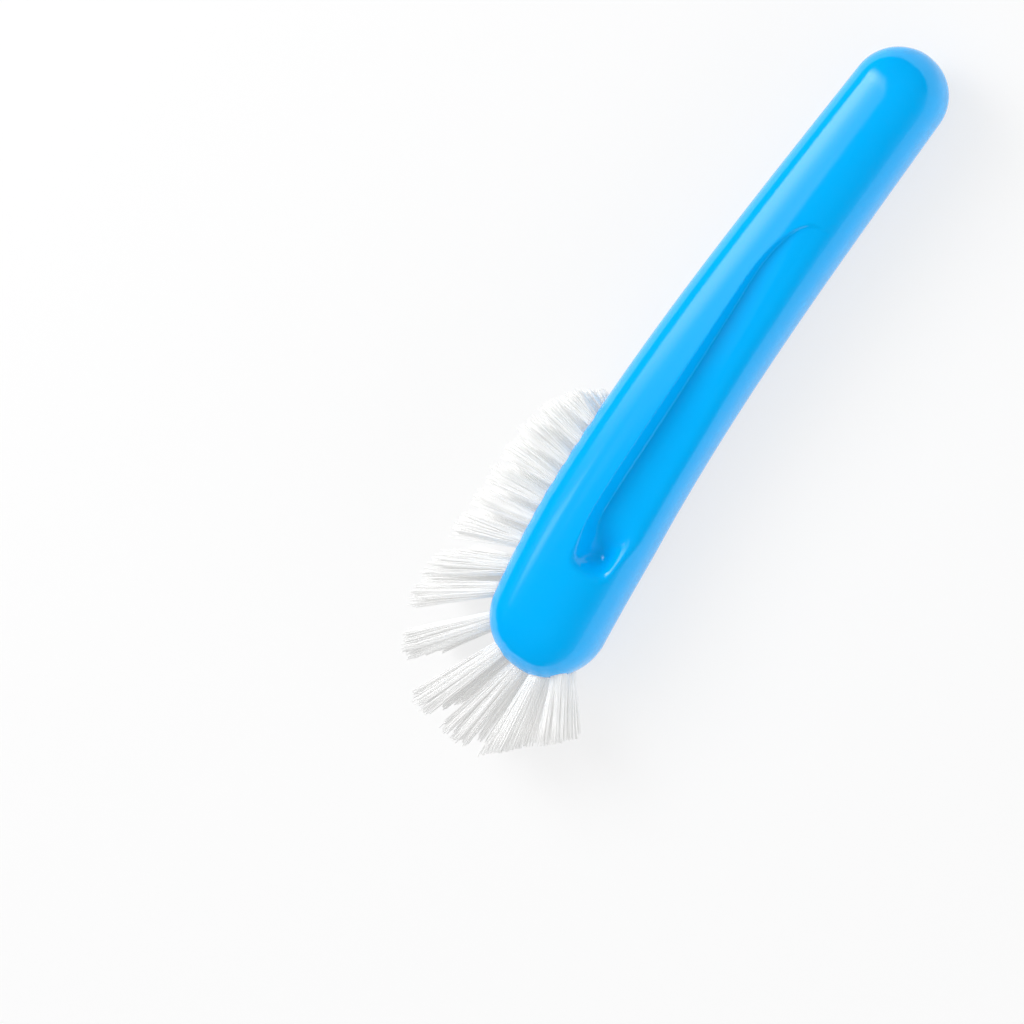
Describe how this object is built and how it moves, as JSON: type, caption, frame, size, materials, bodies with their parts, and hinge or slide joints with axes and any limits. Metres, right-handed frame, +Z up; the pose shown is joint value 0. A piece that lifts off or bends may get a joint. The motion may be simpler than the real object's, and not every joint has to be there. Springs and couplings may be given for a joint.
{
  "type": "bottle lid brush",
  "caption": "Short hand brush with a bowed round-ended handle, a thumb groove in each flank and stiff bristle tufts under the head and round its tip, for scrubbing bottle lids.",
  "frame": {"origin": "centre of the bottom of the bounding box, on the surface that the brush lies on", "axes": "+X from the bristled tip to the handle's free end, +Y the way the bristles point, +Z up, out of the upper flank"},
  "size_m": [0.1692, 0.044, 0.0212],
  "materials": {
    "blue_plastic": "glossy moulded",
    "white_nylon": "satin filament",
    "staple_metal": "plain strip"
  },
  "bodies": {
    "root": {"handle": "blue_plastic", "bristles_heel": "white_nylon", "bristles_middle": "white_nylon", "bristles_front": "white_nylon", "bristles_toe": "white_nylon", "staple_01": "staple_metal", "staple_02": "staple_metal", "staple_03": "staple_metal", "staple_04": "staple_metal", "staple_05": "staple_metal", "staple_06": "staple_metal", "staple_07": "staple_metal", "staple_08": "staple_metal", "staple_09": "staple_metal", "staple_10": "staple_metal", "staple_11": "staple_metal", "staple_12": "staple_metal", "staple_13": "staple_metal", "staple_14": "staple_metal", "staple_15": "staple_metal", "staple_16": "staple_metal", "staple_17": "staple_metal", "staple_18": "staple_metal", "staple_19": "staple_metal", "staple_20": "staple_metal", "staple_21": "staple_metal", "staple_22": "staple_metal", "staple_23": "staple_metal", "staple_24": "staple_metal", "staple_25": "staple_metal", "staple_26": "staple_metal", "staple_27": "staple_metal", "staple_28": "staple_metal", "staple_29": "staple_metal", "staple_30": "staple_metal", "staple_31": "staple_metal", "staple_32": "staple_metal", "staple_33": "staple_metal", "staple_34": "staple_metal", "staple_35": "staple_metal", "staple_36": "staple_metal", "staple_37": "staple_metal", "staple_38": "staple_metal", "staple_39": "staple_metal"}
  },
  "joints": []
}
